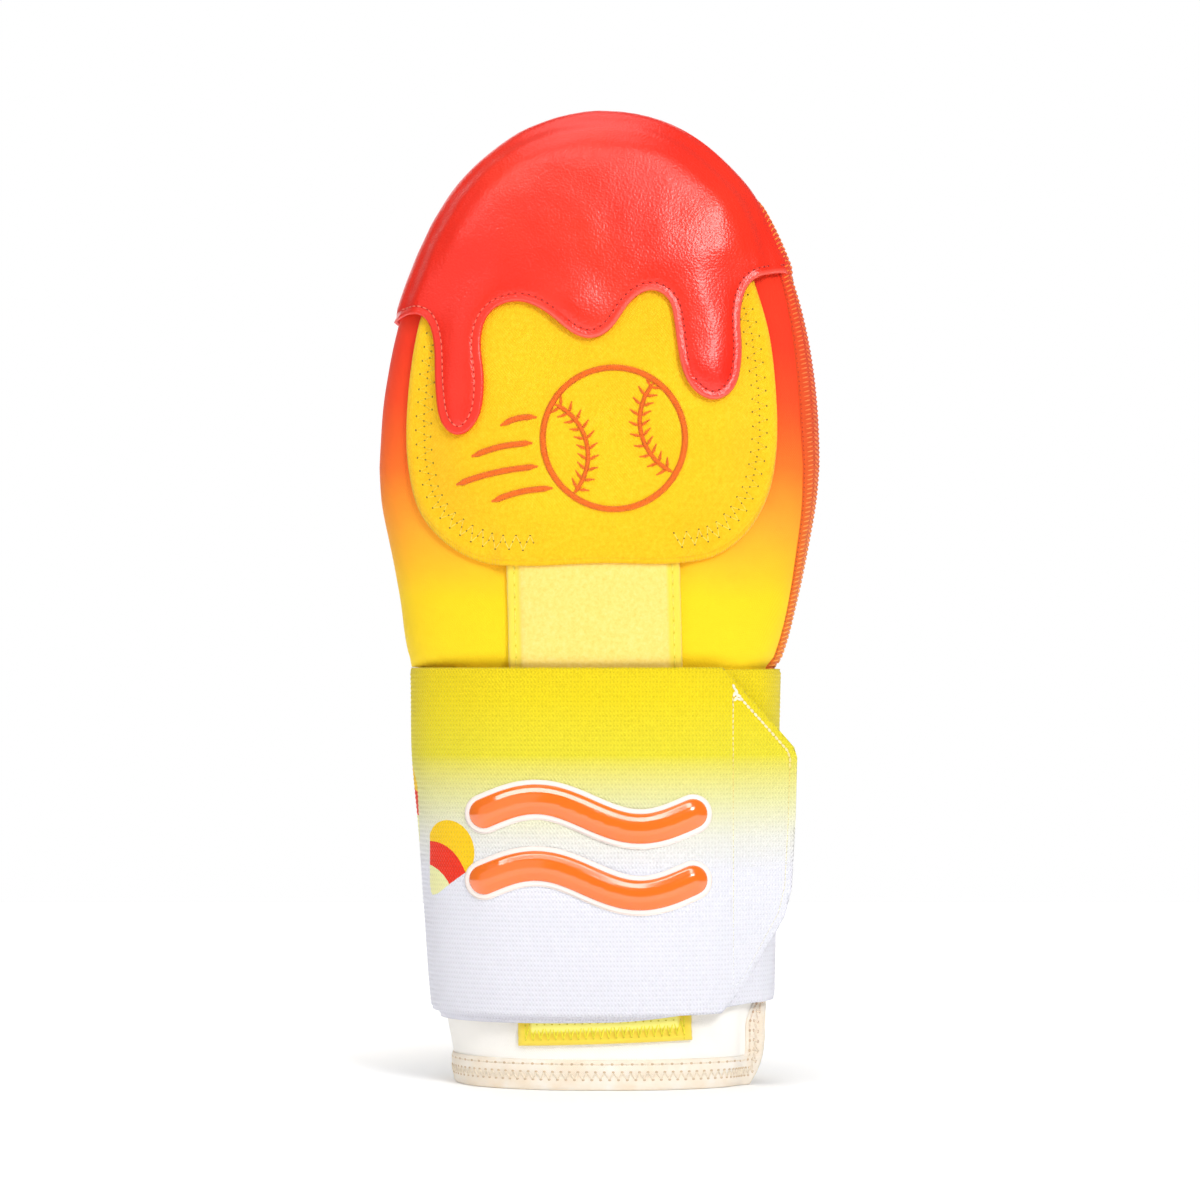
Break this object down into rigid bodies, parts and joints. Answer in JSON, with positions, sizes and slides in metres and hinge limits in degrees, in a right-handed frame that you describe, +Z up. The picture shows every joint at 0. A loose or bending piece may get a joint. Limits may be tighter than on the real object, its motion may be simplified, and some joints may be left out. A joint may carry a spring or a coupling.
{
  "type": "baseball sliding mitt",
  "caption": "Hollow padded sliding mitt with a domed fingertip cap that drips over a hand pad, a wide elastic wrist strap with a hook tab, and an open hemmed cuff to stand on.",
  "frame": {"origin": "on the floor under the middle of the mitt's box, the cuff's rim resting on the floor", "axes": "+Z up the mitt from its cuff to its tip, -Y out of the back of the hand, +X towards the overlocked side seam"},
  "size_m": [0.1298, 0.0603, 0.2864],
  "materials": {
    "neoprene": "jersey-faced neoprene, red fading to yellow and cream",
    "hem_cloth": "turned cream cloth hem",
    "coated_leather": "pebbled coated leather, soft gloss",
    "brushed_knit": "brushed knit over padding",
    "loop_tape": "fuzzy loop tape",
    "overlock_thread": "overlocked thread",
    "elastic": "ribbed knitted elastic, yellow fading to white",
    "hook_tape": "hook tape under the strap's sewn end",
    "emblem_rim": "moulded pale rim",
    "emblem_gloss": "glossy moulded"
  },
  "bodies": {
    "root": {"hand_shell": "neoprene", "cuff_hem": "hem_cloth", "tip_cap": "coated_leather", "hand_pad": "brushed_knit", "loop_patch": "loop_tape", "side_seam": "overlock_thread", "wrist_strap": "elastic", "strap_tab": "hook_tape", "emblem_base_upper": "emblem_rim", "emblem_wave_upper": "emblem_gloss", "emblem_base_lower": "emblem_rim", "emblem_wave_lower": "emblem_gloss"}
  },
  "joints": []
}
